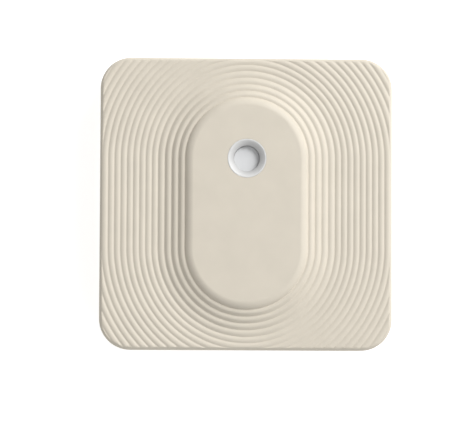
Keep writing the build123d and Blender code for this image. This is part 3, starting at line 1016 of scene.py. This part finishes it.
# Frame screws
# Two self-tapping pan head screws of nickel-plated steel with a cross recess, which pass through
# the frame's arms into the housing's bosses. Their thread is a row of rings.
nickel = (196, 194, 188)
head_height = 0.0006
shank_radius = 0.0007
core_radius = 0.00055
thread_pitch = 0.00045
recess_length = 0.0015
recess_width = 0.00032
recess_depth = 0.00035
recess_softness = 0.00004
head_rounding = 0.00036
nickel_plating = rolled_metal(
    "nickel_plating", nickel, roughness=0.25, streaks=(4000, 4000, 4000)
)
for number, (low, high) in enumerate(solids_of("frame_screws"), start=1):
    middle = (low + high) / 2
    head_radius = (high.x - low.x) / 2
    shoulder = low.z + head_height
    points = [(0, high.z), (core_radius, high.z)]
    turns = int((high.z - shoulder) / thread_pitch)
    for turn in range(turns):
        level = high.z - turn * thread_pitch
        points += [(shank_radius, level - thread_pitch / 2), (core_radius, level - thread_pitch)]
    points += [(core_radius, shoulder), (head_radius, shoulder), (head_radius, low.z), (0, low.z)]
    head_rim = {len(points) - 2: head_rounding}
    screw = closed_turning(f"frame_screw_{number}", points, head_rim, middle, nickel_plating)
    for length, width in ((recess_length, recess_width), (recess_width, recess_length)):
        arm_low = Vector((middle.x - length / 2, middle.y - width / 2, low.z - head_height))
        arm_high = Vector((middle.x + length / 2, middle.y + width / 2, low.z + recess_depth))
        recess = blocks("recess", [(arm_low, arm_high)], nickel_plating, recess_softness)
        cut(screw, recess, "DIFFERENCE")
    placed(screw, "housing", "screw", "frame_screws")


# Contacts
# Strips of tinned spring steel, soldered to the back of the board: a leaf that bulges in to the
# side of the cell's can, and a bridge with two arms that press on its cap.
contact_softness = 0.00003
side_contact = softened("positive_contact", "side_contact", tinned_steel, contact_softness)
placed(side_contact, "housing", "spring_metal", "positive_contact")
cap_contact = softened("negative_contact", "cap_contact", tinned_steel, contact_softness)
placed(cap_contact, "housing", "spring_metal", "negative_contact")


# Coin cell
# A lithium coin cell: a deep-drawn stainless can whose lip is crimped over a dark seal, and the
# stainless cap inside it. A plus sign is pressed into the can, which faces the back cover.
seal_grey = (44, 44, 46)
can_rounding = 0.0004
crimp_rounding = 0.00025
can_lip = 0.0008
seal_thickness = 0.00025
cap_rounding = 0.0003
plus_length = 0.0032
plus_width = 0.0005
plus_depth = 0.00006
plus_softness = 0.00002


def turned_metal(name, tone, roughness, ring_scale):
    """Metal brushed in circles: fine rings in its gloss and relief round the upright axis."""
    finish, marks = bare_metal(name, tone, roughness)
    marks.noise_dimensions = "1D"
    marks.inputs["Scale"].default_value = ring_scale
    distance = finish.node_tree.nodes.new("ShaderNodeVectorMath")
    distance.operation = "LENGTH"
    finish.node_tree.links.new(stretched_place(finish, (1, 1, 0)), distance.inputs[0])
    finish.node_tree.links.new(distance.outputs["Value"], marks.inputs["W"])
    return finish


can_low, can_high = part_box("cell_can")
cap_low, cap_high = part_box("cell_cap")
seal_low, seal_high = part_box("cell_seal")
cell_middle = (can_low + can_high) / 2
can_radius = (can_high.x - can_low.x) / 2
cell_steel = turned_metal("drawn_stainless", stainless, roughness=0.28, ring_scale=16000)
can = closed_turning(
    "coin_cell_can",
    [
        (0, can_low.z),
        (can_radius, can_low.z),
        (can_radius, can_high.z),
        (can_radius - can_lip, can_high.z),
        (can_radius - can_lip, cap_low.z),
        (0, cap_low.z),
    ],
    {1: can_rounding, 2: crimp_rounding, 3: crimp_rounding},
    cell_middle,
    cell_steel,
)
plus_middle = Vector((cell_middle.x, cell_middle.y, can_low.z))
for length, width in ((plus_length, plus_width), (plus_width, plus_length)):
    reach = Vector((length / 2, width / 2, plus_depth))
    bar = blocks("plus_bar", [(plus_middle - reach, plus_middle + reach)], cell_steel, plus_softness)
    cut(can, bar, "DIFFERENCE")
placed(can, "coin_cell", "cell_metal", "cell_can")
cap_radius = (cap_high.x - cap_low.x) / 2
cap = closed_turning(
    "coin_cell_cap",
    [(0, cap_high.z), (cap_radius, cap_high.z), (cap_radius, cap_low.z), (0, cap_low.z)],
    {1: cap_rounding},
    cell_middle,
    cell_steel,
)
placed(cap, "coin_cell", "cell_metal", "cell_cap")
seal_plastic = moulded_plastic(
    "dark_seal", seal_grey, roughness=0.5, grain=0.000002, mottling=0.08
)
seal_radius = (seal_high.x - seal_low.x) / 2
seal = closed_turning(
    "coin_cell_seal",
    [
        (seal_radius - seal_thickness, seal_low.z),
        (seal_radius - seal_thickness, seal_high.z),
        (seal_radius, seal_high.z),
        (seal_radius, seal_low.z),
    ],
    {1: seal_thickness / 3, 2: seal_thickness / 3},
    cell_middle,
    seal_plastic,
)
placed(seal, "coin_cell", "seal", "cell_seal")


# Back cover
# A shallow lid in the housing's own cream ABS. Four hooks click into the walls, and a pocket
# outside holds the tape.
lid_edge_softness = 0.0001
back_lid = softened("back_cover", "back_lid", cream_plastic, lid_edge_softness, segments=3)
placed(back_lid, "cover", "housing", "back_cover")


# Mounting tape
# A pad of white acrylic foam that is sticky on both sides, under a thin glossy release liner.
foam_white = (214, 214, 208)
liner_tint = (206, 214, 222)
liner_thickness = 0.0001
tape_corner_radius = 0.003
tape_softness = 0.00008
liner_softness = 0.000025
tape_corner_steps = 16
tape_edge_steps = 3


def rounded_sheet(name, low, high, softness, finish):
    """A flat square pad with rounded corners and softened edges."""
    shape = bmesh.new()
    block(shape, low, high)
    corners = upright_edges(shape, (high.z - low.z) / 2)
    rounded_edges(shape, corners, tape_corner_radius, tape_corner_steps)
    rims = [edge for edge in shape.edges if edge.calc_face_angle() > hard_edge]
    rounded_edges(shape, rims, softness, tape_edge_steps)
    return finished(shape, name, finish)


tape_low, tape_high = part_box("mounting_tape")
foam = moulded_plastic("white_foam", foam_white, roughness=0.85, grain=0.00003, mottling=0.03)
liner = moulded_plastic("release_liner", liner_tint, roughness=0.3, grain=0.000002)
liner_top = tape_low.z + liner_thickness
foam_low = Vector((tape_low.x, tape_low.y, liner_top))
liner_high = Vector((tape_high.x, tape_high.y, liner_top))
foam_pad = rounded_sheet("tape_foam", foam_low, tape_high, tape_softness, foam)
placed(foam_pad, "cover", "tape", "mounting_tape")
liner_film = rounded_sheet("tape_liner", tape_low, liner_high, liner_softness, liner)
placed(liner_film, "cover", "tape")
